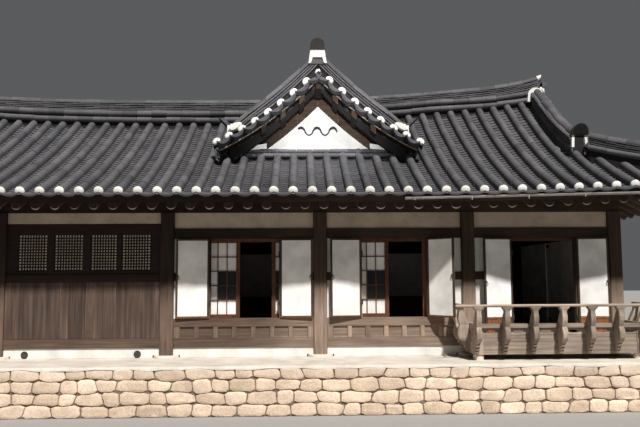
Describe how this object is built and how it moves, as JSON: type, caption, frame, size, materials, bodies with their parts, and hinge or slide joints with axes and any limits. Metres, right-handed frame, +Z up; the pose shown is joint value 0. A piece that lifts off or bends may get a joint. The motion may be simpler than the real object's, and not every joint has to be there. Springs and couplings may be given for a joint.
{
  "type": "hanok house",
  "caption": "Long one-storey timber house on a stone podium, with a curved hip-and-gable tiled roof, a cross gable, paper doors and a railed balcony.",
  "frame": {"origin": "on the flat bottom of the podium, under the cross gable's axis and the front column line", "axes": "+X along the front to the right, +Y to the rear, +Z up"},
  "size_m": [18.65, 7.66, 6.4564],
  "materials": {
    "stone": "rough pale stone",
    "plaster": "matt lime plaster",
    "timber": "weathered brown timber",
    "orange_timber": "oiled orange-brown timber",
    "pale_timber": "weathered pale grey timber",
    "paper": "white door paper on a thin timber frame",
    "tile": "fired grey clay tile"
  },
  "bodies": {
    "house": {"floor": "timber", "front_column_1": "timber", "front_column_2": "timber", "front_column_3": "timber", "front_column_4": "timber", "front_column_5": "timber", "front_column_6": "timber", "front_column_7": "timber", "front_plate": "timber", "plank_wall_1": "timber", "plank_wall_2": "timber", "plank_wall_3": "timber", "bay_b_sill": "timber", "bay_b_head": "timber", "bay_c_sill": "timber", "bay_c_head": "timber", "bay_d_sill": "timber", "bay_d_head": "timber", "rear_wall": "timber", "left_wall": "timber", "right_wall": "timber", "podium": "stone", "plinth": "plaster", "bay_b_left_wall": "plaster", "bay_b_right_wall": "plaster", "bay_c_left_wall": "plaster", "bay_c_right_wall": "plaster", "bay_d_left_wall": "plaster", "bay_d_right_wall": "plaster", "front_window_sheet": "paper", "rear_window_sheet": "paper", "left_wall_door_sheet": "paper", "right_wall_door_sheet": "paper", "front_roof": "tile", "rear_roof": "tile", "left_hip_roof": "tile", "right_hip_roof": "tile", "gable_roof": "tile", "main_ridge": "tile", "gable_ridge": "tile", "left_ridges": "tile", "right_ridges": "tile", "front_gable": "plaster", "left_gable": "plaster", "right_gable": "plaster", "balcony_deck": "pale_timber", "balcony_railing": "pale_timber"},
    "bay_b_left_leaf": {"bay_b_left_leaf": "paper"},
    "bay_b_right_leaf": {"bay_b_right_leaf": "paper"},
    "bay_c_left_leaf": {"bay_c_left_leaf": "paper"},
    "bay_c_right_leaf": {"bay_c_right_leaf": "paper"},
    "bay_d_left_leaf": {"bay_d_left_leaf": "paper"},
    "bay_d_right_leaf": {"bay_d_right_leaf": "paper"},
    "bay_b_left_sliding_door": {"bay_b_left_sliding_door": "orange_timber"},
    "bay_b_right_sliding_door": {"bay_b_right_sliding_door": "orange_timber"},
    "bay_c_left_sliding_door": {"bay_c_left_sliding_door": "orange_timber"},
    "bay_c_right_sliding_door": {"bay_c_right_sliding_door": "orange_timber"}
  },
  "joints": [
    {"name": "bay_b_left_hinge", "type": "hinge", "parent": "house", "child": "bay_b_left_leaf", "pos_m": [-1.861, -0.076, 2.05], "axis": [0, 0, 1], "range_deg": [-3, 177]},
    {"name": "bay_b_right_hinge", "type": "hinge", "parent": "house", "child": "bay_b_right_leaf", "pos_m": [-0.701, -0.076, 2.05], "axis": [0, 0, -1], "range_deg": [-3, 177]},
    {"name": "bay_c_left_hinge", "type": "hinge", "parent": "house", "child": "bay_c_left_leaf", "pos_m": [0.714, -0.076, 2.05], "axis": [0, 0, 1], "range_deg": [-8, 172]},
    {"name": "bay_c_right_hinge", "type": "hinge", "parent": "house", "child": "bay_c_right_leaf", "pos_m": [1.824, -0.076, 2.05], "axis": [0, 0, -1], "range_deg": [0, 134]},
    {"name": "bay_d_left_hinge", "type": "hinge", "parent": "house", "child": "bay_d_left_leaf", "pos_m": [3.3, -0.076, 2.05], "axis": [0, 0, 1], "range_deg": [-14, 166]},
    {"name": "bay_d_right_hinge", "type": "hinge", "parent": "house", "child": "bay_d_right_leaf", "pos_m": [4.4, -0.076, 2.05], "axis": [0, 0, -1], "range_deg": [-8, 172]},
    {"name": "bay_b_left_slide", "type": "slide", "parent": "house", "child": "bay_b_left_sliding_door", "axis": [1, 0, 0], "range_m": [-0.496, 0.089]},
    {"name": "bay_b_right_slide", "type": "slide", "parent": "house", "child": "bay_b_right_sliding_door", "axis": [-1, 0, 0], "range_m": [-0.11, 0.447]},
    {"name": "bay_c_left_slide", "type": "slide", "parent": "house", "child": "bay_c_left_sliding_door", "axis": [1, 0, 0], "range_m": [-0.464, 0.081]},
    {"name": "bay_c_right_slide", "type": "slide", "parent": "house", "child": "bay_c_right_sliding_door", "axis": [-1, 0, 0], "range_m": [-0.045, 0.497]}
  ]
}
